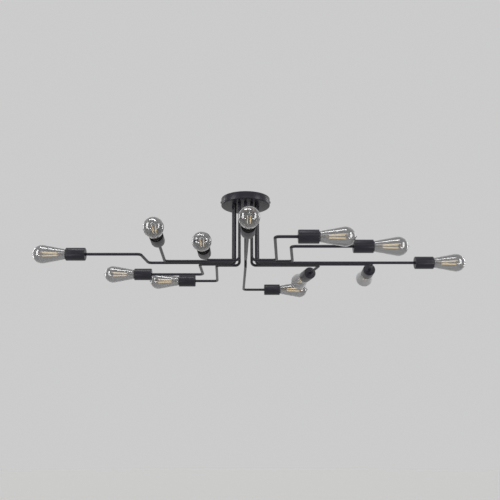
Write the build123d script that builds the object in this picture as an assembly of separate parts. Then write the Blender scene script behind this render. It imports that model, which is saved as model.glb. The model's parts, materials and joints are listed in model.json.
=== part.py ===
from build123d import *
import math
import os

# Ceiling light with bent tube arms, all sizes in millimetres, ceiling at z = 0

# Canopy
canopy_diameter = 180
canopy_height = 28
canopy_wall = 1.5
canopy_edge_radius = 4

# Tubes
arm_count = 12
tube_diameter = 10
tube_wall = 1
tube_circle_diameter = 90
tube_drop = 215
bend_radius = 14
bead_height = 1.2
bead_length = 2
thread_end = 2.5

# Lock nuts
nut_across_flats = 14
nut_thickness = 3

# Headings in the level plane, in degrees
right = 0
away = 90
left = 180
near = 270

# Arm routes: run from the drop to the first corner, leg across, end run to the cup, lean of the leg
arm_01_run = 306
arm_01_leg = 120
arm_01_end = 190
arm_01_lean = -6
arm_02_run = 129
arm_02_leg = 158
arm_02_end = 199
arm_02_lean = -1.5
arm_03_run = 84
arm_03_leg = 256
arm_03_end = 88
arm_03_lean = 1.4
arm_04_run = 251
arm_04_leg = 259
arm_04_lean = 1.4
arm_05_run = 118
arm_05_leg = 90
arm_05_lean = -0.6
arm_06_run = 334
arm_06_lean = 1
arm_07_run = 88
arm_07_leg = 294
arm_07_end = 73
arm_07_lean = -3.7
arm_08_run = 129
arm_08_leg = 198
arm_08_end = 206
arm_08_lean = -5.3
arm_09_run = 567
arm_10_run = 424
arm_10_leg = 78
arm_10_lean = -2.2
arm_11_run = 250
arm_11_leg = 118
arm_11_lean = 11.8
arm_12_leg = 417
arm_12_end = 88
arm_12_lean = 1

# Socket cups
cup_diameter = 45
cup_length = 66
cup_wall = 1.2
cup_edge_radius = 3

# Bulb envelope, measured from the tip of the centre contact
bulb_diameter = 64
bulb_length = 147
bulb_depth_in_cup = 28
bulb_tip_height = 3.5
bulb_tip_radius = 3
glass_wall = 1
neck_radius = 11.3
neck_start = 19
neck_end = 27
shoulder_radius = 17.5
shoulder_at = 31

# Screw cap of the bulb
thread_radius = 13.1
thread_depth = 0.8
thread_pitch = 3.629
thread_turns = 4
cap_sheet = 0.4
cap_start = 6
cap_end = 26.5
contact_radius = 4.8
contact_height = 2
contact_pin_radius = 2
contact_pin_length = 3
insulator_start = 2.4
insulator_top_radius = 6
insulator_hole_radius = 2.4

# Glass mount and filament sticks
flare_radius = 9.8
flare_start = 20
stem_radius = 4
stem_start = 44
rod_radius = 2
rod_end = 118
stick_count = 4
stick_radius = 0.9
stick_start = 56
stick_end = 116
stick_start_radius = 5.5
stick_end_radius = 8
support_radius = 0.5

# Lamp holder
holder_radius = 19
holder_front_inset = 6
holder_floor_gap = 4
wire_hole_radius = 2.3
shell_wall = 0.5
shell_inset = 1
tongue_width = 5
tongue_sheet = 0.6
tongue_half_length = 6
rivet_radius = 1.5
rivet_length = 3

# Ceiling bracket, its screws, the wiring hub and the leads
bracket_width = 25
bracket_sheet = 2
bracket_ear_gap = 2
bracket_ear_drop = 18
slot_spacing = 80
slot_length = 24
slot_width = 5
wire_hole_diameter = 10
side_screw_diameter = 4
side_screw_height = 12
side_screw_length = 10
side_screw_head_diameter = 8
side_screw_head_height = 2.4
hub_radius = 13
hub_height = 10
hub_neck_radius = 9
wire_radius = 1.6
wire_rise = 7
wire_bend_radius = 5

# Clearances
hole_gap = 0.3
thread_gap = 0.2
turning_gap = 0.55
contact_gap = 0.5
seat_gap = 0.15
mount_gap = 0.4

# Levels and stations worked out from the sizes above
canopy_radius = canopy_diameter / 2
canopy_floor = canopy_wall - canopy_height
tube_radius = tube_diameter / 2
tube_bore = tube_radius - tube_wall
plane_level = -canopy_height - tube_drop
tube_top = canopy_floor + nut_thickness + thread_end
cup_radius = cup_diameter / 2
holder_rear = cup_wall + nut_thickness
tube_end_in_cup = holder_rear + thread_end
contact_tip = cup_length - bulb_depth_in_cup
tongue_top = contact_tip - contact_gap
holder_floor = contact_tip - holder_floor_gap
holder_front = cup_length - holder_front_inset
shell_bore = thread_radius + turning_gap
shell_radius = shell_bore + shell_wall
holder_bore = shell_radius + seat_gap
ball_radius = bulb_diameter / 2
ball_centre = bulb_length - bulb_tip_height - ball_radius


def ring(outer, inner, start, end):
    """A plain ring along Z."""
    middle = (start + end) / 2
    length = end - start
    return Pos(0, 0, middle) * (Cylinder(outer, length) - Cylinder(inner, length))


def rod(start, end, radius):
    """A round rod between two points."""
    line = Line(start, end)
    return sweep(Plane(line @ 0, z_dir=line % 0) * Circle(radius), path=line)


def bent_path(points, radii):
    """Straight runs joined by tangent arcs, one radius for each inner point."""
    edges = []
    here = points[0]
    for corner, following, radius in zip(points[1:-1], points[2:], radii):
        came = (corner - here).normalized()
        goes = (following - corner).normalized()
        turn = math.radians(came.get_angle(goes))
        back = radius * math.tan(turn / 2)
        start = corner - came * back
        end = corner + goes * back
        inward = (goes - came).normalized()
        middle = corner + inward * (radius / math.cos(turn / 2) - radius)
        edges.append(Line(here, start))
        edges.append(ThreePointArc(start, middle, end))
        here = end
    edges.append(Line(here, points[-1]))
    return Wire(edges)


def swept(face, path):
    """A section carried along a path."""
    return sweep(Plane(path @ 0, z_dir=path % 0) * face, path=path)


def turned(points):
    """A solid turned about Z from a closed outline of radius and height."""
    outline = Polyline(*[(r, 0, z) for r, z in points], close=True)
    return revolve(make_face(outline), axis=Axis.Z)


# Arm routes as a hole number and a list of runs, each a heading and a length
routes = [
    (6, [(left, arm_01_run), (near + arm_01_lean, arm_01_leg), (left, arm_01_end)]),
    (5, [(left, arm_02_run), (away + arm_02_lean, arm_02_leg), (left, arm_02_end)]),
    (4, [(left, arm_03_run), (away + arm_03_lean, arm_03_leg), (left, arm_03_end)]),
    (7, [(left, arm_04_run), (near + arm_04_lean, arm_04_leg)]),
    (8, [(left, arm_05_run), (near + arm_05_lean, arm_05_leg)]),
    (9, [(near + arm_06_lean, arm_06_run)]),
    (10, [(right, arm_07_run), (near + arm_07_lean, arm_07_leg), (right, arm_07_end)]),
    (11, [(right, arm_08_run), (near + arm_08_lean, arm_08_leg), (right, arm_08_end)]),
    (0, [(right, arm_09_run)]),
    (1, [(right, arm_10_run), (away + arm_10_lean, arm_10_leg)]),
    (2, [(right, arm_11_run), (away + arm_11_lean, arm_11_leg)]),
    (3, [(away + arm_12_lean, arm_12_leg), (right, arm_12_end)]),
]


def direction(heading):
    """A level unit vector."""
    angle = math.radians(heading)
    return Vector(math.cos(angle), math.sin(angle), 0)


class Arm:
    """One arm's hole, corners and the place of its cup."""

    def __init__(self, number, hole, runs):
        self.name = f"{number:02d}"
        self.out = direction(hole * 360 / arm_count)
        self.hole = self.out * (tube_circle_diameter / 2)
        self.corners = [self.hole + Vector(0, 0, plane_level)]
        for heading, length in runs:
            self.corners.append(self.corners[-1] + direction(heading) * length)
        self.axis = direction(runs[-1][0])
        self.cup_rear = self.corners[-1]
        across = self.axis.cross(Vector(0, 0, 1))
        self.place = Plane(self.cup_rear, x_dir=across, z_dir=self.axis).location
        self.top = self.hole + Vector(0, 0, tube_top)

    def tube_points(self):
        """Corners of the tube from its top to its end inside the cup."""
        return [self.top, *self.corners[:-1], self.cup_rear + self.axis * tube_end_in_cup]

    def wire_points(self):
        """Corners of the lead from the hub to the rivet in the lamp holder."""
        rise = Vector(0, 0, tube_top + wire_rise)
        start = self.out * hub_radius + rise
        end = self.cup_rear + self.axis * (holder_floor - rivet_length)
        return [start, self.hole + rise, *self.corners[:-1], end]


arms = [Arm(i + 1, hole, runs) for i, (hole, runs) in enumerate(routes)]

# Canopy: a turned dish with tube holes and two side holes
edge = canopy_edge_radius
lower = -canopy_height
inside = canopy_radius - canopy_wall
inner_edge = edge - canopy_wall
bow = 1 - math.cos(math.radians(45))
outer_arc = ThreePointArc(
    (canopy_radius - edge, 0, lower),
    (canopy_radius - edge * bow, 0, lower + edge * bow),
    (canopy_radius, 0, lower + edge),
)
inner_arc = ThreePointArc(
    (inside, 0, lower + edge),
    (inside - inner_edge * bow, 0, canopy_floor + inner_edge * bow),
    (inside - inner_edge, 0, canopy_floor),
)
dish_lines = [
    Line((0, 0, lower), outer_arc @ 0),
    outer_arc,
    Line(outer_arc @ 1, (canopy_radius, 0, 0)),
    Line((canopy_radius, 0, 0), (inside, 0, 0)),
    Line((inside, 0, 0), inner_arc @ 0),
    inner_arc,
    Line(inner_arc @ 1, (0, 0, canopy_floor)),
    Line((0, 0, canopy_floor), (0, 0, lower)),
]
canopy = revolve(make_face(Wire(dish_lines)), axis=Axis.Z)
tube_hole = Cylinder(tube_radius + hole_gap, canopy_height)
for arm in arms:
    canopy -= Pos(arm.hole.X, arm.hole.Y, lower) * tube_hole
side_hole = Cylinder(side_screw_diameter / 2 + hole_gap, canopy_diameter + edge, rotation=(0, 90, 0))
canopy -= Pos(0, 0, -side_screw_height) * side_hole
export_step(canopy, "parts/canopy.step")

# Ceiling bracket: a strap with bent-down ears
ear_face = inside - bracket_ear_gap
strap = Pos(0, 0, -bracket_sheet / 2) * Box(2 * ear_face, bracket_width, bracket_sheet)
ear = Box(bracket_sheet, bracket_width, bracket_ear_drop)
bracket = strap
for side in (-1, 1):
    ear_x = side * (ear_face - bracket_sheet / 2)
    bracket += Pos(ear_x, 0, -bracket_ear_drop / 2) * ear
bend_edges = bracket.edges().filter_by(Axis.Y).group_by(Axis.Z)[-1]
bracket = fillet(bend_edges, bracket_sheet * 0.9)
slot = extrude(SlotOverall(slot_length, slot_width), bracket_sheet * 2, both=True)
for side in (-1, 1):
    bracket -= Pos(side * slot_spacing / 2, 0, 0) * slot
bracket -= Cylinder(wire_hole_diameter / 2, bracket_sheet * 4)
ear_hole = Cylinder(side_screw_diameter / 2 + thread_gap, canopy_diameter, rotation=(0, 90, 0))
bracket -= Pos(0, 0, -side_screw_height) * ear_hole
export_step(bracket, "parts/ceiling_bracket.step")

# Side screws: a domed head outside the canopy and a shank through the ear
head = Cylinder(side_screw_head_diameter / 2, side_screw_head_height)
head = fillet(head.edges().sort_by(Axis.Z)[-1:], side_screw_head_height * 0.7)
head = Pos(0, 0, side_screw_head_height / 2) * head
shank = Pos(0, 0, -side_screw_length / 2) * Cylinder(side_screw_diameter / 2, side_screw_length)
driver = Pos(0, 0, side_screw_head_height) * Box(side_screw_head_diameter * 0.6, 1, side_screw_head_height)
screw = head + shank - driver
screws = []
for side in (-1, 1):
    seat = Vector(side * (canopy_radius + seat_gap), 0, -side_screw_height)
    screws.append(Plane(seat, x_dir=(0, 1, 0), z_dir=(side, 0, 0)).location * screw)
export_step(Compound(children=screws), "parts/canopy_screws.step")

# Wiring hub: a twelve-sided block hung from the wire hole of the bracket
wire_level = tube_top + wire_rise
hub_block = extrude(RegularPolygon(hub_radius, arm_count, major_radius=False), hub_height)
hub_block = Rot(0, 0, 180 / arm_count) * hub_block
hub_block = Pos(0, 0, wire_level - hub_height / 2) * hub_block
hub_top = wire_level + hub_height / 2
hub = hub_block + ring(hub_neck_radius, 0, hub_top, -bracket_sheet)
hub_floor = hub_top - hub_height * 0.7
hub -= ring(wire_hole_diameter / 2, 0, hub_floor, -bracket_sheet + 1)
export_step(hub, "parts/wiring_hub.step")

# Tubes with their stop beads, and the leads inside them
bead_radius = tube_radius + bead_height
wires = []
for arm in arms:
    points = arm.tube_points()
    bends = [bend_radius] * (len(points) - 2)
    path = bent_path(points, bends)
    tube = swept(Circle(tube_radius) - Circle(tube_bore), path)
    upper_bead = ring(bead_radius, tube_radius - tube_wall / 2, lower - bead_length, lower)
    tube += Pos(arm.hole.X, arm.hole.Y, 0) * upper_bead
    tube += arm.place * ring(bead_radius, tube_radius - tube_wall / 2, -bead_length, 0)
    export_step(tube, f"parts/arm_{arm.name}_tube.step")
    section = math.pi * (tube_radius ** 2 - tube_bore ** 2)
    print("arm", arm.name, "tube length", round(path.length, 1), "ratio", round(tube.volume / section / path.length, 4))
    lead_bends = [wire_bend_radius] + bends
    wires.append(swept(Circle(wire_radius), bent_path(arm.wire_points(), lead_bends)))
export_step(Compound(children=wires), "parts/lead_wires.step")

# Lock nuts, one in the canopy and one in the cup for each tube
nut_blank = extrude(RegularPolygon(nut_across_flats / 2, 6, major_radius=False), nut_thickness)
nut = nut_blank - Pos(0, 0, nut_thickness / 2) * Cylinder(tube_radius + thread_gap, nut_thickness)
nuts = []
for arm in arms:
    nuts.append(Pos(arm.hole.X, arm.hole.Y, canopy_floor) * nut)
    nuts.append(arm.place * Pos(0, 0, cup_wall) * nut)
export_step(Compound(children=nuts), "parts/tube_nuts.step")

# Socket cup: a plain cylinder with a rounded rear edge and a tube hole
cup = Pos(0, 0, cup_length / 2) * Cylinder(cup_radius, cup_length)
cup = fillet(cup.edges().sort_by(Axis.Z)[:1], cup_edge_radius)
cup -= Pos(0, 0, cup_wall + cup_length / 2) * Cylinder(cup_radius - cup_wall, cup_length)
cup -= Cylinder(tube_radius + hole_gap, cup_length / 2)

# Lamp holder: an insulating body with a recess for the tube end, a wire hole and the lamp bore
recess_end = tube_end_in_cup + seat_gap
holder = turned([
    (tube_radius + hole_gap, holder_rear),
    (holder_radius, holder_rear),
    (holder_radius, holder_front),
    (holder_bore, holder_front),
    (holder_bore, holder_floor),
    (wire_hole_radius, holder_floor),
    (wire_hole_radius, recess_end),
    (tube_radius + hole_gap, recess_end),
])

# Screw shell that stands on the holder's floor
shell = ring(shell_radius, shell_bore, holder_floor, holder_front - shell_inset)

# Centre contact spring with its rivet
rise = tongue_top - holder_floor
tongue_outline = Polyline(
    (-tongue_half_length, 0, holder_floor),
    (tongue_half_length, 0, holder_floor),
    (tongue_half_length, 0, tongue_top),
    (-tongue_half_length / 2, 0, tongue_top),
    (-tongue_half_length / 2, 0, tongue_top - tongue_sheet),
    (tongue_half_length - tongue_sheet, 0, tongue_top - tongue_sheet),
    (tongue_half_length - tongue_sheet, 0, holder_floor + tongue_sheet),
    (-tongue_half_length, 0, holder_floor + tongue_sheet),
    close=True,
)
tongue = extrude(make_face(tongue_outline), tongue_width / 2, dir=(0, 1, 0), both=True)
tongue += ring(rivet_radius, 0, holder_floor - rivet_length, holder_floor)

for name, shape in (
    ("socket_cups", cup),
    ("lamp_holders", holder),
    ("holder_shells", shell),
    ("holder_tongues", tongue),
):
    export_step(Compound(children=[arm.place * shape for arm in arms]), f"parts/{name}.step")

# Bulb envelope: neck, cone tangent to the ball, ball and sealed tip
reach = math.hypot(ball_centre - shoulder_at, shoulder_radius)
cone_angle = math.asin(ball_radius / reach) - math.atan2(shoulder_radius, ball_centre - shoulder_at)


def envelope_line(offset):
    """Half outline of the envelope, drawn in by an offset."""
    ball = ball_radius - offset
    normal = (-math.sin(cone_angle), math.cos(cone_angle))
    touch_z = ball_centre + ball * normal[0]
    touch_r = ball * normal[1]
    start_z = shoulder_at - offset * normal[0]
    start_r = shoulder_radius - offset * normal[1]
    middle = math.radians(45)
    cone = Line((start_r, 0, start_z), (touch_r, 0, touch_z))
    dome = ThreePointArc(
        (touch_r, 0, touch_z),
        (ball * math.cos(middle), 0, ball_centre + ball * math.sin(middle)),
        (0, 0, ball_centre + ball),
    )
    neck = Line((neck_radius - offset, 0, neck_start), (neck_radius - offset, 0, neck_end))
    flare = Line(neck @ 1, cone @ 0)
    return [neck, flare, cone, dome]


outer = envelope_line(0)
inner = envelope_line(glass_wall)
glass_lines = outer + [
    Line(outer[-1] @ 1, inner[-1] @ 1),
    *inner,
    Line(inner[0] @ 0, outer[0] @ 0),
]
glass = revolve(make_face(Wire(glass_lines)), axis=Axis.Z)
tip = Pos(0, 0, bulb_length - bulb_tip_height) * Cylinder(bulb_tip_radius, bulb_tip_height * 2)
tip = fillet(tip.edges().sort_by(Axis.Z)[-1:], bulb_tip_radius * 0.9)
tip -= Pos(0, 0, ball_centre) * Sphere(ball_radius - glass_wall / 2)
glass += tip

# Screw cap: rolled sheet with ridges
ridge_radius = thread_radius
root_radius = thread_radius - thread_depth
cap_line = [(root_radius, cap_start)]
ridge_start = cap_start + thread_pitch / 2
for i in range(thread_turns):
    ridge = ridge_start + i * thread_pitch
    cap_line.append((root_radius, ridge))
    cap_line.append((ridge_radius, ridge + thread_pitch * 0.35))
    cap_line.append((ridge_radius, ridge + thread_pitch * 0.65))
cap_line.append((root_radius, ridge_start + thread_turns * thread_pitch))
cap_line.append((root_radius, cap_end))
sleeve = [(r - cap_sheet, z) for r, z in cap_line]
end_hole = insulator_top_radius + thread_depth + mount_gap
end_plate = [(end_hole, cap_start + cap_sheet), (end_hole, cap_start)]
first_inner = (sleeve[0][0], cap_start + cap_sheet)
cap = turned(cap_line + sleeve[:0:-1] + [first_inner] + end_plate)

# Insulator between the cap and the centre contact
insulator_foot = end_hole - mount_gap
insulator = turned([
    (insulator_hole_radius, insulator_start),
    (insulator_top_radius, insulator_start),
    (insulator_foot, cap_start),
    (insulator_foot, cap_start + cap_sheet),
    (insulator_hole_radius, cap_start + cap_sheet),
])

# Glass mount with the filament sticks and their support wires
mount = turned([
    (0, flare_start),
    (flare_radius, flare_start),
    (stem_radius, stem_start),
    (rod_radius, stem_start),
    (rod_radius, rod_end),
    (0, rod_end),
])
for i in range(stick_count):
    around = direction((i + 0.5) * 360 / stick_count)
    low = around * stick_start_radius + Vector(0, 0, stick_start)
    high = around * stick_end_radius + Vector(0, 0, stick_end)
    root = around * (stem_radius * 0.6) + Vector(0, 0, stem_start - stem_radius)
    top = Vector(0, 0, rod_end - rod_radius)
    mount += rod(low, high, stick_radius)
    mount += rod(root, low + Vector(0, 0, stick_radius), support_radius)
    mount += rod(top, high - Vector(0, 0, stick_radius), support_radius)

# Centre contact
contact = Pos(0, 0, contact_height / 2) * Cylinder(contact_radius, contact_height)
contact = fillet(contact.edges().sort_by(Axis.Z)[:1], contact_height * 0.6)
pin_top = contact_height + contact_pin_length
contact += ring(contact_pin_radius, 0, contact_height, pin_top)

for arm in arms:
    seat = arm.place * Pos(0, 0, contact_tip)
    export_step(seat * glass, f"parts/bulb_{arm.name}_glass.step")
    export_step(Compound(children=[seat * s for s in (cap, insulator, mount)]), f"parts/bulb_{arm.name}_base.step")
    export_step(seat * contact, f"parts/bulb_{arm.name}_contact.step")
    tip_at = arm.cup_rear + arm.axis * contact_tip
    print("bulb", arm.name, "at", [round(v, 3) for v in tip_at], "axis", [round(v, 5) for v in arm.axis])
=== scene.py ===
import json
import math

import bpy
from mathutils import Matrix, Vector


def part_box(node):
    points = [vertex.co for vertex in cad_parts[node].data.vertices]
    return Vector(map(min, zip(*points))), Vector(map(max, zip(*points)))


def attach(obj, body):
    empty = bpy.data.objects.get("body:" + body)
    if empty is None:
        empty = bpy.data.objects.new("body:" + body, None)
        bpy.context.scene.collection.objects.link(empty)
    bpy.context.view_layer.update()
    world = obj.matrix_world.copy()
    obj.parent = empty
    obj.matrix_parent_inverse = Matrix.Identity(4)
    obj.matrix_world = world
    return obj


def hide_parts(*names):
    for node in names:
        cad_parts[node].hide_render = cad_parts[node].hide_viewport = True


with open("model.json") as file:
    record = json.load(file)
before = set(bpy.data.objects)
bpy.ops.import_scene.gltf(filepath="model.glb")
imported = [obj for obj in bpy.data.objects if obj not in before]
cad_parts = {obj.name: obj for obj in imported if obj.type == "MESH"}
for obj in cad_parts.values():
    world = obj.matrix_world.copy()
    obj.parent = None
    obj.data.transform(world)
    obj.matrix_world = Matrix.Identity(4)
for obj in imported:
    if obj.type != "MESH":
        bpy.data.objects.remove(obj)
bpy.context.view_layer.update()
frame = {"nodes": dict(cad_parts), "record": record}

# Sizes of the ceiling light in metres, and its angles in degrees apart from the two turns
MM = 0.001
UP = Vector((0, 0, 1))
FULL_TURN = 2 * math.pi
QUARTER_TURN = math.radians(90)

# Tubes, with the steps of a quarter bend and the fewest of any bend
TUBE_RADIUS = 5 * MM
TUBE_WALL = 1 * MM
TUBE_SIDES = 40
THREAD_END = 2.5 * MM
BEND_RADIUS = 14 * MM
BEND_STEPS = 14
FEWEST_BEND_STEPS = 3

# Stop beads: steps along the bead as shares of its length, each with its share of the height
BEAD_LENGTH = 2 * MM
BEAD_HEIGHT = 1.2 * MM
BEAD_SHAPE = [(1 / 8, 0.75), (1 / 8, 1), (1 / 2, 1), (1 / 8, 0.75), (1 / 8, 0)]

# Leads inside the tubes
WIRE_RADIUS = 1.6 * MM
WIRE_SIDES = 16
WIRE_BEND = 5 * MM
WIRE_RISE = 7 * MM
RIVET_LENGTH = 3 * MM

# Lock nuts
NUT_SIDES = 6
NUT_FLATS = 14 * MM
NUT_HEIGHT = 3 * MM
NUT_CHAMFER = 0.35 * MM
THREAD_GAP = 0.2 * MM

# Canopy
CANOPY_WALL = 1.5 * MM
CANOPY_EDGE = 4 * MM
CANOPY_LIP = 0.45 * MM
HOLE_CIRCLE = 45 * MM
HOLE_STEP = 30
HOLE_GAP = 0.3 * MM
CUT_DEPTH = 6 * MM
SIDE_SCREW_RADIUS = 2 * MM
SCREW_SIDES = 30

# Socket cups and lamp holders: the inset is from the cup's mouth, other depths from its back
CUP_RADIUS = 22.5 * MM
CUP_LENGTH = 66 * MM
CUP_WALL = 1.2 * MM
CUP_EDGE = 3 * MM
CUP_LIP = 0.42 * MM
TUBE_IN_CUP = CUP_WALL + NUT_HEIGHT + THREAD_END
HOLDER_RADIUS = 19 * MM
HOLDER_INSET = 6 * MM
HOLDER_BORE = 14.3 * MM
HOLDER_FLOOR = 34 * MM
HOLDER_RIM = 0.8 * MM
SEAT_GAP = 0.15 * MM
WIRE_HOLE_RADIUS = 2.3 * MM
CONTACT_DEPTH = 38 * MM

# Bulb envelope, measured from the centre contact
BULB_LENGTH = 147 * MM
BALL_RADIUS = 32 * MM
BALL_STEPS = 26
GLASS_WALL = 1 * MM
NECK_RADIUS = 11.3 * MM
NECK_START = 19 * MM
NECK_END = 27 * MM
SHOULDER_RADIUS = 17.5 * MM
SHOULDER_AT = 31 * MM
NECK_ROUND = 2.2 * MM

# Sealed tip and the hollow in it: the ball ends at their feet, and their shapes are shares
# of their radius and of the tip's height
TIP_HEIGHT = 3.5 * MM
TIP_RADIUS = 3 * MM
TIP_FOOT = 6 * MM
TIP_SHAPE = [(1.35, 0.05), (1, 0.35), (0.9, 0.65), (0.62, 0.9), (0.3, 0.985), (0, 1)]
HOLLOW_RADIUS = 2.2 * MM
HOLLOW_FOOT = 4.84 * MM
HOLLOW_SHAPE = [(0, 0.78), (0.7, 0.68), (1, 0.3)]
HOLLOW_MOUTH_RADIUS = 3.3 * MM
HOLLOW_MOUTH_DEPTH = 0.75 * MM

# Glass mount: half outlines of radius and height in millimetres, and the bead on its rod
STEM_OUTSIDE = [(9.8, 20), (9.4, 22), (6.4, 30), (4.4, 36), (4, 44), (2.6, 48), (1.7, 54), (1.6, 112)]
STEM_INSIDE = [(0, 40), (2.6, 36), (5.2, 29), (8.6, 20)]
STEM_ROUNDED = slice(2, 6)
STEM_ROUND = 1.2 * MM
ROD_BEAD_AT = 116.5 * MM
ROD_BEAD_RADIUS = 2.6 * MM
ROD_BEAD_START = -50
ROD_BEAD_STEPS = 10

# Filament sticks
STICK_COUNT = 4
STICK_RADIUS = 0.9 * MM
STICK_START = 56 * MM
STICK_END = 116 * MM
STICK_START_RADIUS = 5.5 * MM
STICK_END_RADIUS = 8 * MM
STICK_TAB = 4 * MM
STICK_ROUND = 0.5 * MM

# Support wires of the sticks: radius and height of their roots and knees, and their bends
SUPPORT_RADIUS = 0.4 * MM
SUPPORT_SIDES = 10
SUPPORT_GRIP = 4.8 * MM
FOOT_ROOT = (2.2 * MM, 40 * MM)
FOOT_KNEE = (3 * MM, 48 * MM)
FOOT_BENDS = [2 * MM, 2 * MM]
HEAD_ROOT = (1.2 * MM, ROD_BEAD_AT)
HEAD_KNEE = (6 * MM, 119.5 * MM)
HEAD_BENDS = [3 * MM, 1 * MM]

# Screw cap and its insulator
CAP_ROOT = 12.3 * MM
CAP_RIDGE = 0.8 * MM
CAP_PITCH = 3.629 * MM
CAP_SHEET = 0.4 * MM
CAP_START = 6 * MM
CAP_END = 26.5 * MM
CAP_HOLE = 7.2 * MM
CAP_CORNER = 1.2 * MM
CAP_CORNER_RISE = 1 * MM
CAP_ROWS = 72
THREAD_START = CAP_START + CAP_PITCH * 0.35
THREAD_STOP = CAP_END - CAP_PITCH * 0.55
THREAD_FADE = CAP_PITCH / 2
INSULATOR_START = 2.4 * MM
INSULATOR_BORE = 2.4 * MM
INSULATOR_RADIUS = 6.8 * MM
INSULATOR_END_RADIUS = 6 * MM
INSULATOR_ROUND = 0.6 * MM

# Steps of a full turn, and the largest angle between faces that is shaded smooth
CANOPY_STEPS = 192
TURN_STEPS = 96
SMALL_TURN_STEPS = 48
STICK_STEPS = 20
SMOOTH_ANGLE = 35
NUT_SMOOTH = 30
STICK_SMOOTH = 40
CAP_SMOOTH = 50
GLASS_SMOOTH = 60

# Distances at which points count as one
MERGE_DISTANCE = 0.001 * MM
FIND_DISTANCE = 0.01 * MM

# Positions of the two tints on a colour ramp
FIRST_TINT = 0.3
SECOND_TINT = 0.7


# Shader values and materials

class Shade:
    """A shader value. An expression on it adds the math nodes that it needs."""

    def __init__(self, tree, socket):
        self.tree = tree
        self.socket = socket

    def put(self, operation, first, second):
        node = self.tree.nodes.new("ShaderNodeMath")
        node.operation = operation
        for slot, value in zip(node.inputs, (first, second)):
            if isinstance(value, Shade):
                self.tree.links.new(value.socket, slot)
            else:
                slot.default_value = value
        return Shade(self.tree, node.outputs[0])

    def __add__(self, other):
        return self.put("ADD", self, other)

    def __radd__(self, other):
        return self.put("ADD", other, self)

    def __mul__(self, other):
        return self.put("MULTIPLY", self, other)

    def __rmul__(self, other):
        return self.put("MULTIPLY", other, self)

    def __or__(self, other):
        return self.put("MAXIMUM", self, other)


class NodeTree:
    """The nodes of a material or of the world, with one node-making method."""

    def __init__(self, owner):
        owner.use_nodes = True
        self.tree = owner.node_tree

    def found(self, kind):
        """The node of a type that the tree starts with."""
        return next(n for n in self.tree.nodes if n.type == kind)

    def node(self, kind, settings=None, out=0, **sockets):
        """Adds a node, sets it up, fills or links its sockets and gives one output."""
        made = self.tree.nodes.new(kind)
        for key, value in (settings or {}).items():
            if key == "stops":
                for stop, (position, tint) in zip(made.color_ramp.elements, value):
                    stop.position = position
                    stop.color = (*tint, 1)
            else:
                setattr(made, key, value)
        self.fill(made, sockets)
        return Shade(self.tree, made.outputs[out])

    def fill(self, made, sockets):
        """Fills or links sockets by name, with spaces written as underscores."""
        for key, value in sockets.items():
            slot = made.inputs[key.replace("_", " ")]
            if isinstance(value, Shade):
                self.tree.links.new(value.socket, slot)
            elif isinstance(value, tuple) and len(value) == 3 and slot.type == "RGBA":
                slot.default_value = (*value, 1)
            else:
                slot.default_value = value

    def seen_rays(self):
        """One for the rays of the camera, of reflections and of what glass lets through."""
        camera, glossy, through = (
            self.node("ShaderNodeLightPath", out=f"Is {ray} Ray")
            for ray in ("Camera", "Glossy", "Transmission")
        )
        return camera | glossy | through


class Finish(NodeTree):
    """A material that starts from one main shader."""

    def __init__(self, name):
        self.material = bpy.data.materials.new(name)
        super().__init__(self.material)
        self.shader = self.found("BSDF_PRINCIPLED")
        self.end = self.found("OUTPUT_MATERIAL")
        self.place = self.node("ShaderNodeTexCoord", out="Object")

    def set(self, **sockets):
        """Fills the main shader's sockets."""
        self.fill(self.shader, sockets)

    def grain(self, scale, detail):
        """Soft noise over the piece."""
        return self.node(
            "ShaderNodeTexNoise", out="Fac", Vector=self.place, Scale=scale, Detail=detail,
        )

    def between(self, mask, first, second):
        """A colour between two tints."""
        stops = [(FIRST_TINT, first), (SECOND_TINT, second)]
        return self.node("ShaderNodeValToRGB", {"stops": stops}, out="Color", Fac=mask)

    def relief(self, height, depth, strength):
        """Bump of a depth in metres."""
        return self.node(
            "ShaderNodeBump", out="Normal", Height=height, Distance=depth, Strength=strength,
        )


def satin_black():
    """Satin black powder coat with a fine orange-peel surface."""
    finish = Finish("satin_black")
    powder = finish.grain(scale=1400, detail=3)
    cloud = finish.grain(scale=30, detail=3)
    finish.set(
        Base_Color=finish.between(cloud, (0.0088, 0.0084, 0.0142), (0.0138, 0.0130, 0.0212)),
        Roughness=0.23 + 0.1 * cloud + 0.08 * powder,
        Specular_IOR_Level=0.33,
        Normal=finish.relief(powder, depth=0.06 * MM, strength=0.35),
    )
    return finish.material


def bulb_glass():
    """Clear glass with a smoky body, darker where the wall is seen edge on."""
    finish = Finish("bulb_glass")
    haze = finish.grain(scale=25, detail=2)
    finish.set(
        Base_Color=finish.between(haze, (0.94, 0.94, 0.94), (0.98, 0.98, 0.98)),
        Roughness=0.015 + 0.02 * haze,
        IOR=1.75,
        Coat_Weight=1.0,
        Coat_IOR=1.75,
        Coat_Roughness=0.01,
        Transmission_Weight=1.0,
    )
    smoke = finish.node(
        "ShaderNodeVolumeAbsorption", out="Volume", Color=(0.711, 0.709, 0.717), Density=2200.0,
    )
    finish.fill(finish.end, {"Volume": smoke})
    return finish.material


def stem_glass():
    """Clear lead glass of the mount."""
    finish = Finish("stem_glass")
    haze = finish.grain(scale=60, detail=2)
    finish.set(
        Base_Color=finish.between(haze, (0.86, 0.88, 0.86), (0.94, 0.95, 0.94)),
        Roughness=0.03,
        IOR=1.5,
        Transmission_Weight=1.0,
    )
    return finish.material


def filament_coating():
    """Pale yellow phosphor coat of a filament stick, with a faint warm painted glow: emission
    standing in for light on the unlit filament.
    """
    finish = Finish("filament_coating")
    mottle = finish.grain(scale=900, detail=3)
    tint = finish.between(mottle, (0.96, 0.70, 0.33), (1.0, 0.83, 0.52))
    finish.set(
        Base_Color=tint,
        # Painted glow: the coat's own tint is also given off as light, though the bulb is unlit
        Emission_Color=tint,
        Emission_Strength=1.4,
        Roughness=0.45 + 0.2 * mottle,
        Normal=finish.relief(mottle, depth=0.08 * MM, strength=0.5),
    )
    return finish.material


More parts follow.
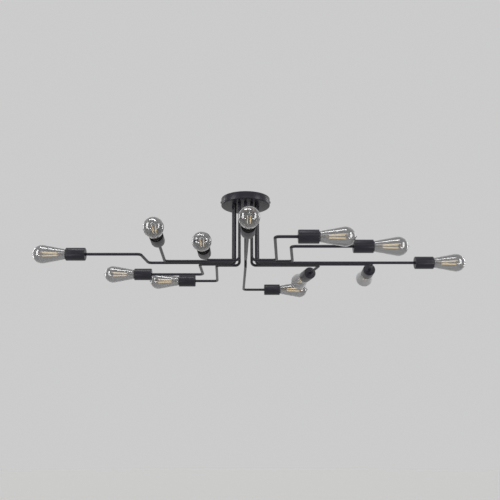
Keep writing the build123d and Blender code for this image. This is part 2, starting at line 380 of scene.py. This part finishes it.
def support_wire():
    """Copper-clad lead wire."""
    finish = Finish("support_wire")
    draw = finish.grain(scale=1200, detail=2)
    finish.set(
        Base_Color=finish.between(draw, (0.62, 0.33, 0.14), (0.78, 0.48, 0.24)),
        Metallic=1.0,
        Roughness=0.25 + 0.2 * draw,
    )
    return finish.material


def cap_metal():
    """Nickel-plated sheet of the screw caps."""
    finish = Finish("cap_metal")
    brush = finish.grain(scale=700, detail=4)
    stain = finish.grain(scale=60, detail=3)
    finish.set(
        Base_Color=finish.between(stain, (0.56, 0.53, 0.48), (0.74, 0.71, 0.66)),
        Metallic=1.0,
        Roughness=0.22 + 0.18 * brush,
        Normal=finish.relief(brush, depth=0.02 * MM, strength=0.3),
    )
    return finish.material


def black_insulator():
    """Glossy black glass round the centre contact."""
    finish = Finish("black_insulator")
    ripple = finish.grain(scale=300, detail=2)
    finish.set(
        Base_Color=finish.between(ripple, (0.008, 0.007, 0.012), (0.016, 0.014, 0.022)),
        Roughness=0.1 + 0.15 * ripple,
        Normal=finish.relief(ripple, depth=0.1 * MM, strength=0.4),
    )
    return finish.material


def holder_plastic():
    """Matt black moulded holder."""
    finish = Finish("holder_plastic")
    fleck = finish.grain(scale=1100, detail=4)
    finish.set(
        Base_Color=finish.between(fleck, (0.010, 0.010, 0.010), (0.022, 0.021, 0.020)),
        Roughness=0.45 + 0.2 * fleck,
        Normal=finish.relief(fleck, depth=0.05 * MM, strength=0.4),
    )
    return finish.material


def zinc_plate():
    """Zinc-plated steel with faint spangle."""
    finish = Finish("zinc_plate")
    spangle = finish.node(
        "ShaderNodeTexVoronoi", out="Distance", Vector=finish.place, Scale=260.0,
    )
    cloud = finish.grain(scale=90, detail=3)
    finish.set(
        Base_Color=finish.between(cloud, (0.50, 0.51, 0.52), (0.70, 0.71, 0.72)),
        Metallic=1.0,
        Roughness=0.28 + 0.25 * spangle,
        Normal=finish.relief(cloud, depth=0.03 * MM, strength=0.3),
    )
    return finish.material


def brass_sheet():
    """Pressed brass."""
    finish = Finish("brass_sheet")
    brush = finish.grain(scale=500, detail=3)
    finish.set(
        Base_Color=finish.between(brush, (0.62, 0.44, 0.19), (0.80, 0.62, 0.32)),
        Metallic=1.0,
        Roughness=0.25 + 0.2 * brush,
    )
    return finish.material


def solder():
    """Dull solder of the centre contacts."""
    finish = Finish("solder")
    lump = finish.grain(scale=400, detail=3)
    finish.set(
        Base_Color=finish.between(lump, (0.42, 0.42, 0.43), (0.62, 0.62, 0.63)),
        Metallic=1.0,
        Roughness=0.3 + 0.25 * lump,
        Normal=finish.relief(lump, depth=0.1 * MM, strength=0.4),
    )
    return finish.material


def ivory_plastic():
    """Moulded ivory terminal block."""
    finish = Finish("ivory_plastic")
    mould = finish.grain(scale=800, detail=3)
    finish.set(
        Base_Color=finish.between(mould, (0.74, 0.70, 0.60), (0.82, 0.78, 0.69)),
        Roughness=0.4 + 0.15 * mould,
        Normal=finish.relief(mould, depth=0.04 * MM, strength=0.3),
    )
    return finish.material


def wire_insulation():
    """Soft black insulation of the leads."""
    finish = Finish("wire_insulation")
    skin = finish.grain(scale=600, detail=3)
    finish.set(
        Base_Color=finish.between(skin, (0.020, 0.020, 0.021), (0.036, 0.036, 0.038)),
        Roughness=0.4 + 0.2 * skin,
        Normal=finish.relief(skin, depth=0.05 * MM, strength=0.3),
    )
    return finish.material


def floor_paint():
    """Plain pale floor that looks as pale as the background."""
    finish = Finish("floor_paint")
    cloud = finish.grain(scale=0.5, detail=2)
    finish.set(
        Base_Color=finish.between(cloud, (0.712, 0.712, 0.704), (0.728, 0.728, 0.72)),
        Emission_Color=finish.between(finish.seen_rays(), (0, 0, 0), (0.72, 0.72, 0.712)),
        Emission_Strength=0.42,
        Roughness=0.7 + 0.1 * cloud,
    )
    finish.material.cycles.emission_sampling = "NONE"
    return finish.material


BLACK = satin_black()
GLASS = bulb_glass()
STEM_GLASS = stem_glass()
PHOSPHOR = filament_coating()
LEAD_WIRE = support_wire()
CAP_METAL = cap_metal()
INSULATOR = black_insulator()
HOLDER = holder_plastic()
ZINC = zinc_plate()
BRASS = brass_sheet()
SOLDER = solder()
IVORY = ivory_plastic()
INSULATION = wire_insulation()


# Modelling steps

def free():
    """Leaves edit mode with nothing selected."""
    if bpy.context.mode != "OBJECT":
        bpy.ops.object.mode_set(mode="OBJECT")
    bpy.ops.object.select_all(action="DESELECT")


def pick(piece):
    """Selects one piece alone."""
    free()
    piece.select_set(True)
    bpy.context.view_layer.objects.active = piece


def smooth(piece, angle=SMOOTH_ANGLE):
    """Shades a piece smooth, with an edge where faces meet at more than the angle."""
    pick(piece)
    bpy.ops.object.shade_smooth_by_angle(angle=math.radians(angle))


def label(piece, name):
    """Names a piece and its mesh."""
    piece.name = name
    piece.data.name = name


def paint(piece, material):
    """Gives a piece its only material."""
    piece.data.materials.clear()
    piece.data.materials.append(material)


def settle(name, material, angle=SMOOTH_ANGLE):
    """Leaves edit mode with the piece named, finished and its place in its mesh."""
    bpy.ops.object.mode_set(mode="OBJECT")
    piece = bpy.context.object
    bpy.ops.object.transform_apply(location=True, rotation=True, scale=True)
    label(piece, name)
    paint(piece, material)
    smooth(piece, angle)
    return piece


def stand_for(piece, node, body):
    """Puts a piece in the place of a CAD node, on its body."""
    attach(piece, body)
    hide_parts(node)


def merge_doubles():
    """Makes one of points that lie on each other."""
    bpy.ops.mesh.select_all(action="SELECT")
    bpy.ops.mesh.remove_doubles(threshold=MERGE_DISTANCE)


def close_up():
    """Merges doubled points and turns the faces outwards."""
    merge_doubles()
    bpy.ops.mesh.select_all(action="SELECT")
    bpy.ops.mesh.delete_loose()
    bpy.ops.mesh.select_all(action="SELECT")
    bpy.ops.mesh.normals_make_consistent(inside=False)


def draw_outline(points, closed):
    """Draws a half outline of radius and height, point by point, in edit mode."""
    free()
    first = Vector((points[0][0], 0, points[0][1]))
    bpy.ops.mesh.primitive_plane_add(size=MM, location=first)
    bpy.ops.object.transform_apply(location=True)
    bpy.ops.object.mode_set(mode="EDIT")
    bpy.ops.mesh.select_all(action="SELECT")
    bpy.ops.mesh.merge(type="CENTER")
    here = first
    for radius, height in points[1:]:
        there = Vector((radius, 0, height))
        bpy.ops.mesh.extrude_vertices_move(TRANSFORM_OT_translate={"value": there - here})
        here = there
    if closed:
        bpy.ops.mesh.extrude_vertices_move(TRANSFORM_OT_translate={"value": first - here})
        merge_doubles()


def round_corners(corners, offset, steps):
    """Rounds the outline's corners at the given radius and height pairs."""
    bpy.ops.mesh.select_all(action="DESELECT")
    bpy.ops.object.mode_set(mode="OBJECT")
    for vertex in bpy.context.object.data.vertices:
        for radius, height in corners:
            if (vertex.co - Vector((radius, 0, height))).length < FIND_DISTANCE:
                vertex.select = True
    bpy.ops.object.mode_set(mode="EDIT")
    bpy.ops.mesh.bevel(offset=offset, segments=steps, affect="VERTICES")


def turn_round(steps=TURN_STEPS):
    """Spins the outline a full turn about Z."""
    bpy.ops.mesh.select_all(action="SELECT")
    bpy.ops.mesh.spin(steps=steps, angle=FULL_TURN, center=(0, 0, 0), axis=UP)
    close_up()


def arc(height, radius, start, end, steps):
    """Points of an arc of an outline about a point of the axis, from one angle to another."""
    spots = []
    for i in range(steps + 1):
        angle = math.radians(start + (end - start) * i / steps)
        spots.append((radius * math.cos(angle), height + radius * math.sin(angle)))
    return spots


def pull(step):
    """Extrudes the selected ring."""
    bpy.ops.mesh.extrude_region_move(TRANSFORM_OT_translate={"value": step})


def widen(scale, centre):
    """Scales the selected ring about its own centre."""
    bpy.ops.transform.resize(value=(scale, scale, scale), center_override=centre)


def roll_bead(here, heading):
    """Rolls a stop bead from the ring, and gives the point where it ends."""
    before = 1
    for length, height in BEAD_SHAPE:
        step = heading * (BEAD_LENGTH * length)
        pull(step)
        here = here + step
        swell = 1 + BEAD_HEIGHT * height / TUBE_RADIUS
        widen(swell / before, here)
        before = swell
    return here


def swing(here, heading, corner, following, bend):
    """Pulls the ring to a corner and round it, and gives its new place and heading."""
    goes = (following - corner).normalized()
    turn = heading.angle(goes)
    back = bend * math.tan(turn / 2)
    start = corner - heading * back
    pull(start - here)
    axis = heading.cross(goes).normalized()
    middle = start + axis.cross(heading) * bend
    steps = max(FEWEST_BEND_STEPS, round(BEND_STEPS * turn / QUARTER_TURN))
    bpy.ops.mesh.spin(steps=steps, angle=-turn, center=middle, axis=axis)
    return corner + goes * back, goes


def bent_tube(name, points, bends, radius, sides, material, beads=False, wall=0):
    """A tube, or a rod if it has no wall, drawn along straight runs and swung round its bends."""
    here = points[0]
    heading = (points[1] - here).normalized()
    free()
    bpy.ops.mesh.primitive_circle_add(
        vertices=sides, radius=radius, location=here,
        rotation=heading.to_track_quat("Z", "Y").to_euler(),
    )
    bpy.ops.object.transform_apply(location=True, rotation=True, scale=True)
    bpy.ops.object.mode_set(mode="EDIT")
    bpy.ops.mesh.select_all(action="SELECT")
    if beads:
        below = Vector((here.x, here.y, canopy_low.z))
        pull(below - here)
        here = roll_bead(below, heading)
    for corner, following, bend in zip(points[1:-1], points[2:], bends):
        here, heading = swing(here, heading, corner, following, bend)
    if beads:
        behind = points[-1] - heading * (TUBE_IN_CUP + BEAD_LENGTH)
        pull(behind - here)
        here = roll_bead(behind, heading)
    pull(points[-1] - here)
    if not wall:
        bpy.ops.mesh.select_all(action="SELECT")
        bpy.ops.mesh.fill_holes(sides=0)
    close_up()
    tube = settle(name, material)
    if wall:
        skin = tube.modifiers.new("wall", "SOLIDIFY")
        skin.thickness = wall
        skin.offset = -1
        bpy.ops.object.modifier_apply(modifier=skin.name)
        smooth(tube)
    return tube


def drill(material, radius, depth, sides, spot, turned=(0, 0, 0)):
    """A round cutter in its place."""
    free()
    bpy.ops.mesh.primitive_cylinder_add(
        vertices=sides, radius=radius, depth=depth, location=spot, rotation=turned,
    )
    return settle("hole", material)


def cut_with(piece, cutter, angle=SMOOTH_ANGLE):
    """Cuts one piece out of another, removes the cutter and shades what is left."""
    pick(piece)
    cut = piece.modifiers.new("cut", "BOOLEAN")
    cut.operation = "DIFFERENCE"
    cut.solver = "EXACT"
    cut.object = cutter
    bpy.ops.object.modifier_apply(modifier=cut.name)
    bpy.data.objects.remove(cutter)
    smooth(piece, angle)


def joined(name, parts):
    """Several pieces made one."""
    pick(parts[0])
    for part in parts:
        part.select_set(True)
    bpy.ops.object.join()
    piece = bpy.context.object
    label(piece, name)
    return piece


def copied(name, template, where):
    """A copy with its own mesh, put in its place."""
    piece = template.copy()
    piece.data = template.data.copy()
    piece.data.transform(where)
    label(piece, name)
    bpy.context.collection.objects.link(piece)
    return piece


# Share of X from which a bulb's axis counts as along X
ALONG_X = 0.9

# Places of the arms, from the frame
joints = {j["name"]: j for j in frame["record"]["behaviour"]["joints"]}
canopy_low, canopy_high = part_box("canopy")
canopy_radius = (canopy_high.x - canopy_low.x) / 2
canopy_floor = canopy_low.z + CANOPY_WALL
tube_top = canopy_floor + NUT_HEIGHT + THREAD_END
wire_level = tube_top + WIRE_RISE
hub_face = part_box("wiring_hub")[1].x
screw_low, screw_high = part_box("canopy_screws")
screw_level = (screw_low.z + screw_high.z) / 2


class Arm:
    """One arm: its hole, the corners of its tube and the place of its cup and bulb.

    The holes count from the one on the right. A run is the level length along X before the tube
    turns across, and a lean is the slant of the length across in degrees.
    """

    def __init__(self, number, hole, run=None, lean=0.0):
        self.name = f"{number:02d}"
        hinge = joints[f"bulb_{self.name}_unscrew"]
        self.contact = Vector(hinge["pos_m"])
        self.axis = Vector(hinge["axis"]).normalized()
        self.cup_rear = self.contact - self.axis * CONTACT_DEPTH
        angle = math.radians(hole * HOLE_STEP)
        self.out = Vector((math.cos(angle), math.sin(angle), 0))
        self.hole = self.out * HOLE_CIRCLE
        self.corners = [self.hole + UP * self.contact.z]
        if run is not None:
            self.corners.append(self.corners[0] + Vector((run, 0, 0)))
        if abs(self.axis.x) > ALONG_X and abs(self.cup_rear.y - self.hole.y) > TUBE_RADIUS:
            across = self.cup_rear.y - self.corners[-1].y
            slant = math.tan(math.radians(lean)) * across
            self.corners.append(self.corners[-1] + Vector((slant, across, 0)))
        side = self.axis.cross(UP)
        self.turned = Matrix((side, self.axis.cross(side), self.axis)).transposed().to_4x4()

    def at(self, spot):
        """Placement of something modelled along Z with its origin at a point."""
        return Matrix.Translation(spot) @ self.turned


arms = [
    Arm(1, hole=6, run=-306 * MM, lean=6),
    Arm(2, hole=5, run=-129 * MM, lean=1.5),
    Arm(3, hole=4, run=-84 * MM, lean=-1.4),
    Arm(4, hole=7, run=-251 * MM),
    Arm(5, hole=8, run=-118 * MM),
    Arm(6, hole=9),
    Arm(7, hole=10, run=88 * MM, lean=3.7),
    Arm(8, hole=11, run=129 * MM, lean=5.3),
    Arm(9, hole=0),
    Arm(10, hole=1, run=424 * MM),
    Arm(11, hole=2, run=250 * MM),
    Arm(12, hole=3, lean=-1),
]


# Canopy

def make_canopy():
    """The dish with its rolled edge, cut for the tubes and side screws."""
    low, high = canopy_low.z, canopy_high.z
    inside = canopy_radius - CANOPY_WALL
    outer_corner = (canopy_radius, low)
    inner_corner = (inside, canopy_floor)
    lip = [(canopy_radius, high), (inside, high)]
    outline = [(0, low), outer_corner, *lip, inner_corner, (0, canopy_floor)]
    draw_outline(outline, closed=False)
    round_corners([outer_corner], CANOPY_EDGE, steps=8)
    round_corners([inner_corner], CANOPY_EDGE - CANOPY_WALL, steps=6)
    round_corners(lip, CANOPY_LIP, steps=2)
    turn_round(CANOPY_STEPS)
    dish = settle("canopy_dish", BLACK)
    half_side = FULL_TURN / TUBE_SIDES / 2
    right_across = canopy_radius * 3
    cutters = []
    for arm in arms:
        cutters.append(drill(
            BLACK, TUBE_RADIUS + HOLE_GAP, CUT_DEPTH, TUBE_SIDES,
            spot=arm.hole + UP * canopy_floor, turned=(0, 0, half_side),
        ))
    cutters.append(drill(
        BLACK, SIDE_SCREW_RADIUS + HOLE_GAP, right_across, SCREW_SIDES,
        spot=UP * screw_level, turned=(0, QUARTER_TURN, 0),
    ))
    cut_with(dish, joined("holes", cutters))
    stand_for(dish, "canopy", "fixture")


# Tubes and leads

def make_arms():
    """The twelve tubes and the lead inside each of them."""
    leads = []
    for arm in arms:
        bends = [BEND_RADIUS] * len(arm.corners)
        top = arm.hole + UP * tube_top
        end = arm.cup_rear + arm.axis * TUBE_IN_CUP
        tube = bent_tube(
            f"tube_{arm.name}", [top, *arm.corners, end], bends, TUBE_RADIUS, TUBE_SIDES, BLACK,
            beads=True, wall=TUBE_WALL,
        )
        stand_for(tube, f"arm_{arm.name}_tube", "fixture")
        level = UP * wire_level
        start = arm.out * hub_face + level
        wire_end = arm.cup_rear + arm.axis * (HOLDER_FLOOR - RIVET_LENGTH)
        route = [start, arm.hole + level, *arm.corners, wire_end]
        leads.append(bent_tube(
            f"lead_{arm.name}", route, [WIRE_BEND, *bends], WIRE_RADIUS, WIRE_SIDES, INSULATION,
        ))
    stand_for(joined("leads", leads), "lead_wires", "fixture")


# Lock nuts

def make_nuts():
    """One chamfered nut, copied to the canopy and the cups."""
    middle = UP * (NUT_HEIGHT / 2)
    free()
    bpy.ops.mesh.primitive_cylinder_add(
        vertices=NUT_SIDES, radius=NUT_FLATS / math.sqrt(3), depth=NUT_HEIGHT, location=middle,
    )
    bpy.ops.object.mode_set(mode="EDIT")
    bpy.ops.mesh.select_all(action="SELECT")
    bpy.ops.mesh.bevel(offset=NUT_CHAMFER, segments=2)
    nut = settle("nut", ZINC, NUT_SMOOTH)
    bore = drill(ZINC, TUBE_RADIUS + THREAD_GAP, CUT_DEPTH, TUBE_SIDES, spot=middle)
    cut_with(nut, bore, NUT_SMOOTH)
    nuts = []
    for arm in arms:
        nuts.append(copied("nut", nut, Matrix.Translation(arm.hole + UP * canopy_floor)))
        nuts.append(copied("nut", nut, arm.at(arm.cup_rear + arm.axis * CUP_WALL)))
    bpy.data.objects.remove(nut)
    stand_for(joined("lock_nuts", nuts), "tube_nuts", "fixture")


# Cups and holders

def make_cup():
    """A cup, open at its front, with the tube's hole in its back."""
    hole = TUBE_RADIUS + HOLE_GAP
    inside = CUP_RADIUS - CUP_WALL
    rear_corner = (CUP_RADIUS, 0)
    lip = [(CUP_RADIUS, CUP_LENGTH), (inside, CUP_LENGTH)]
    outline = [(hole, 0), rear_corner, *lip, (inside, CUP_WALL), (hole, CUP_WALL)]
    draw_outline(outline, closed=True)
    round_corners([rear_corner], CUP_EDGE, steps=8)
    round_corners(lip, CUP_LIP, steps=3)
    turn_round()
    return settle("cup", BLACK)


def make_holder():
    """A lamp holder with a recess for the tube's end, a wire hole and the lamp bore."""
    hole = TUBE_RADIUS + HOLE_GAP
    rear = CUP_WALL + NUT_HEIGHT
    front = CUP_LENGTH - HOLDER_INSET
    recess = TUBE_IN_CUP + SEAT_GAP
    rim = [(HOLDER_RADIUS, front), (HOLDER_BORE, front)]
    outline = [(hole, rear), (HOLDER_RADIUS, rear), *rim, (HOLDER_BORE, HOLDER_FLOOR)]
    outline += [(WIRE_HOLE_RADIUS, HOLDER_FLOOR), (WIRE_HOLE_RADIUS, recess), (hole, recess)]
    draw_outline(outline, closed=True)
    round_corners(rim, HOLDER_RIM, steps=4)
    turn_round()
    return settle("holder", HOLDER)


def make_cups():
    """One cup and one holder, copied to every arm."""
    cup, holder = make_cup(), make_holder()
    for arm in arms:
        where = arm.at(arm.cup_rear)
        placed = copied(f"socket_cup_{arm.name}", cup, where)
        stand_for(placed, "socket_cups", "fixture")
        placed = copied(f"lamp_holder_{arm.name}", holder, where)
        stand_for(placed, "lamp_holders", "fixture")
    bpy.data.objects.remove(cup)
    bpy.data.objects.remove(holder)


# Bulbs

def envelope_points(offset):
    """Half outline of the glass, drawn in by an offset, as its neck and its ball."""
    centre = BULB_LENGTH - TIP_HEIGHT - BALL_RADIUS
    span = centre - SHOULDER_AT
    reach = math.hypot(span, SHOULDER_RADIUS)
    cone = math.asin(BALL_RADIUS / reach) - math.atan2(SHOULDER_RADIUS, span)
    neck = NECK_RADIUS - offset
    shoulder = (SHOULDER_RADIUS - offset * math.cos(cone), SHOULDER_AT + offset * math.sin(cone))
    ball = arc(centre, BALL_RADIUS - offset, -math.degrees(cone), 90, BALL_STEPS)
    return [(neck, NECK_START), (neck, NECK_END), shoulder], ball


def make_glass():
    """The envelope with its wall and the sealed tip."""
    outer_neck, outer_ball = envelope_points(0)
    inner_neck, inner_ball = envelope_points(GLASS_WALL)
    crown = BULB_LENGTH - TIP_HEIGHT
    outside = outer_neck + [p for p in outer_ball if p[0] > TIP_FOOT]
    outside += [(TIP_RADIUS * r, crown + TIP_HEIGHT * h) for r, h in TIP_SHAPE]
    inside = [(HOLLOW_RADIUS * r, crown + TIP_HEIGHT * h) for r, h in HOLLOW_SHAPE]
    inside.append((HOLLOW_MOUTH_RADIUS, crown - HOLLOW_MOUTH_DEPTH))
    inside += reversed(inner_neck + [p for p in inner_ball if p[0] > HOLLOW_FOOT])
    draw_outline(outside + inside, closed=True)
    round_corners(outer_neck[1:] + inner_neck[1:], NECK_ROUND, steps=6)
    turn_round()
    return settle("glass", GLASS, GLASS_SMOOTH)


def make_stem():
    """The flared glass mount with its centre rod and bead."""
    bead = arc(ROD_BEAD_AT, ROD_BEAD_RADIUS, ROD_BEAD_START, 90, ROD_BEAD_STEPS)
    outside = [(radius * MM, height * MM) for radius, height in STEM_OUTSIDE]
    inside = [(radius * MM, height * MM) for radius, height in STEM_INSIDE]
    draw_outline(outside + bead[:-1] + [(0, bead[-1][1])] + inside, closed=True)
    round_corners(outside[STEM_ROUNDED], STEM_ROUND, steps=4)
    turn_round(SMALL_TURN_STEPS)
    return settle("stem", STEM_GLASS, GLASS_SMOOTH)


def make_stick(length):
    """The coated length of a filament stick, between its bare ends."""
    low, high = STICK_TAB, length - STICK_TAB
    ends = [(STICK_RADIUS, low), (STICK_RADIUS, high)]
    draw_outline([(0, low), *ends, (0, high)], closed=False)
    round_corners(ends, STICK_ROUND, steps=4)
    turn_round(STICK_STEPS)
    return settle("stick", PHOSPHOR, STICK_SMOOTH)


def beside(around, radius, height):
    """A point beside the bulb's axis, at a radius and a height."""
    return around * radius + UP * height


def make_filament():
    """Coated sticks hung between bent support wires."""
    rise = STICK_END - STICK_START
    spread = STICK_END_RADIUS - STICK_START_RADIUS
    lean = Matrix.Rotation(math.atan2(spread, rise), 4, "Y")
    stick = make_stick(math.hypot(rise, spread))
    parts = []
    for i in range(STICK_COUNT):
        angle = FULL_TURN * (i + 0.5) / STICK_COUNT
        around = Vector((math.cos(angle), math.sin(angle), 0))
        low = beside(around, STICK_START_RADIUS, STICK_START)
        high = beside(around, STICK_END_RADIUS, STICK_END)
        where = Matrix.Translation(low) @ Matrix.Rotation(angle, 4, "Z") @ lean
        parts.append(copied("stick", stick, where))
        grip = (high - low).normalized() * SUPPORT_GRIP
        foot = [beside(around, *FOOT_ROOT), beside(around, *FOOT_KNEE), low, low + grip]
        head = [beside(around, *HEAD_ROOT), beside(around, *HEAD_KNEE), high, high - grip]
        for name, route, bends in (("foot_wire", foot, FOOT_BENDS), ("head_wire", head, HEAD_BENDS)):
            parts.append(bent_tube(name, route, bends, SUPPORT_RADIUS, SUPPORT_SIDES, LEAD_WIRE))
    bpy.data.objects.remove(stick)
    return joined("filament", parts)


def roll_thread(cap):
    """Raises the helix of the thread on the outside of the cap, faded out at both ends."""
    for vertex in cap.data.vertices:
        flat = Vector((vertex.co.x, vertex.co.y))
        height = vertex.co.z
        if flat.length < CAP_ROOT - CAP_SHEET / 2 or not THREAD_START <= height <= THREAD_STOP:
            continue
        turns = height / CAP_PITCH - math.atan2(flat.y, flat.x) / FULL_TURN
        wave = (1 - math.cos(FULL_TURN * turns)) / 2
        fade = min(THREAD_FADE, height - THREAD_START, THREAD_STOP - height) / THREAD_FADE
        flat *= 1 + CAP_RIDGE * wave * fade / flat.length
        vertex.co.x, vertex.co.y = flat


def make_insulator():
    """The black glass between the screw cap and its centre contact."""
    foot = CAP_START + CAP_SHEET
    end_corner = (INSULATOR_END_RADIUS, INSULATOR_START)
    outline = [(INSULATOR_BORE, INSULATOR_START), end_corner, (INSULATOR_RADIUS, CAP_START)]
    outline += [(INSULATOR_RADIUS, foot), (INSULATOR_BORE, foot)]
    draw_outline(outline, closed=True)
    round_corners([end_corner], INSULATOR_ROUND, steps=3)
    turn_round(SMALL_TURN_STEPS)
    return settle("insulator", INSULATOR)


def make_cap():
    """The screw cap with its rolled thread and its insulator."""
    inside = CAP_ROOT - CAP_SHEET
    row = (THREAD_STOP - THREAD_START) / CAP_ROWS
    outline = [(CAP_HOLE, CAP_START), (CAP_ROOT - CAP_CORNER, CAP_START)]
    outline.append((CAP_ROOT, CAP_START + CAP_CORNER_RISE))
    outline += [(CAP_ROOT, THREAD_START + row * i) for i in range(CAP_ROWS + 1)]
    outline += [(CAP_ROOT, CAP_END), (inside, CAP_END)]
    outline += [(inside, CAP_START + CAP_CORNER), (CAP_HOLE, CAP_START + CAP_SHEET)]
    draw_outline(outline, closed=True)
    turn_round()
    cap = settle("cap", CAP_METAL, CAP_SMOOTH)
    roll_thread(cap)
    return joined("cap", [cap, make_insulator()])


def make_bulbs():
    """One bulb, copied to every arm."""
    glass, stem, filament, cap = make_glass(), make_stem(), make_filament(), make_cap()
    for arm in arms:
        bulb = f"bulb_{arm.name}"
        for part, template, node, slot in (
            ("envelope", glass, "glass", "clear_glass"),
            ("stem", stem, "base", "clear_glass"),
            ("filament", filament, "base", "nickel_cap"),
            ("cap", cap, "base", "nickel_cap"),
        ):
            piece = copied(f"{bulb}_{part}", template, arm.at(arm.contact))
            stand_for(piece, f"{bulb}_{node}", bulb)
        paint(frame["nodes"][f"{bulb}_contact"], SOLDER)
    for template in (glass, stem, filament, cap):
        bpy.data.objects.remove(template)


make_canopy()
make_arms()
make_nuts()
make_cups()
make_bulbs()
for kept_node, kept_finish in (
    ("ceiling_bracket", ZINC),
    ("canopy_screws", BLACK),
    ("wiring_hub", IVORY),
    ("holder_shells", BRASS),
    ("holder_tongues", BRASS),
):
    paint(frame["nodes"][kept_node], kept_finish)


# Floor, light and camera

FLOOR_DROP = 4.0
FLOOR_RADIUS = 80
FLOOR_SIDES = 128
STUDIO_LIGHT = 0.36
BACKGROUND = 0.6

# Points that the lamps are turned to
MIDDLE = (0, 0, -0.24)
LEFT_SIDE = (-0.2, 0, -0.24)
RIGHT_SIDE = (0.2, 0, -0.24)
UNDER_CANOPY = (0, 0, -0.1)

# The photograph's camera: its picture and focal length in pixels, its sensor in millimetres
PHOTO_SIDE = 500
FOCAL_LENGTH = 687
SENSOR_WIDTH = 36
CAMERA_SHIFT = 0.014
CAMERA_SPOT = (-9.4 * MM, -2.410, -0.8614)
LOOKS_UP = 15.46


def make_floor():
    """A pale floor, a room's height below the light."""
    free()
    bpy.ops.mesh.primitive_circle_add(
        vertices=FLOOR_SIDES, radius=FLOOR_RADIUS, fill_type="NGON", location=-UP * FLOOR_DROP,
    )
    bpy.ops.object.transform_apply(location=True)
    floor = bpy.context.object
    floor.name = "floor"
    paint(floor, floor_paint())


def make_world():
    """Even studio light, with a pale background for what the camera and reflections see."""
    world = bpy.data.worlds.new("studio")
    bpy.context.scene.world = world
    studio = NodeTree(world)
    studio.fill(studio.found("BACKGROUND"), {
        "Color": (1.0, 1.0, 1.0),
        "Strength": STUDIO_LIGHT + (BACKGROUND - STUDIO_LIGHT) * studio.seen_rays(),
    })


def soft_lamp(name, spot, target, size, power):
    """A soft box of a width and height, turned to a point."""
    data = bpy.data.lights.new(name, "AREA")
    data.shape = "RECTANGLE"
    data.size, data.size_y = size
    data.energy = power
    lamp = bpy.data.objects.new(name, data)
    lamp.location = spot
    lamp.rotation_euler = (Vector(target) - Vector(spot)).to_track_quat("-Z", "Y").to_euler()
    lamp.visible_camera = False
    lamp.visible_transmission = False
    bpy.context.collection.objects.link(lamp)


def make_camera():
    """The photograph's viewpoint: below and in front, looking up."""
    data = bpy.data.cameras.new("camera")
    data.sensor_width = SENSOR_WIDTH
    data.lens = SENSOR_WIDTH * FOCAL_LENGTH / PHOTO_SIDE
    data.shift_x = CAMERA_SHIFT
    camera = bpy.data.objects.new("camera", data)
    camera.location = CAMERA_SPOT
    camera.rotation_euler = (math.radians(90 + LOOKS_UP), 0, 0)
    bpy.context.collection.objects.link(camera)
    bpy.context.scene.camera = camera


make_floor()
make_world()
soft_lamp("key_box", spot=(-0.4, -1.0, 2.1), target=MIDDLE, size=(2.6, 0.6), power=26)
soft_lamp("left_box", spot=(-2.1, -1.3, 0.0), target=LEFT_SIDE, size=(0.9, 2.0), power=24)
soft_lamp("right_box", spot=(2.1, -1.4, 0.0), target=RIGHT_SIDE, size=(0.9, 2.0), power=24)
soft_lamp("left_rim", spot=(-2.6, 1.5, 0.4), target=LEFT_SIDE, size=(0.35, 1.8), power=10)
soft_lamp("right_rim", spot=(2.6, 1.5, 0.4), target=RIGHT_SIDE, size=(0.35, 1.8), power=10)
soft_lamp("front_card", spot=(0.2, -2.9, 0.55), target=MIDDLE, size=(2.4, 0.6), power=6)
soft_lamp("left_low", spot=(-1.5, -1.7, -1.2), target=UNDER_CANOPY, size=(0.9, 0.15), power=3.5)
soft_lamp("right_low", spot=(1.5, -1.7, -1.2), target=UNDER_CANOPY, size=(0.9, 0.15), power=3.5)
make_camera()
bpy.context.scene.view_settings.view_transform = "Standard"
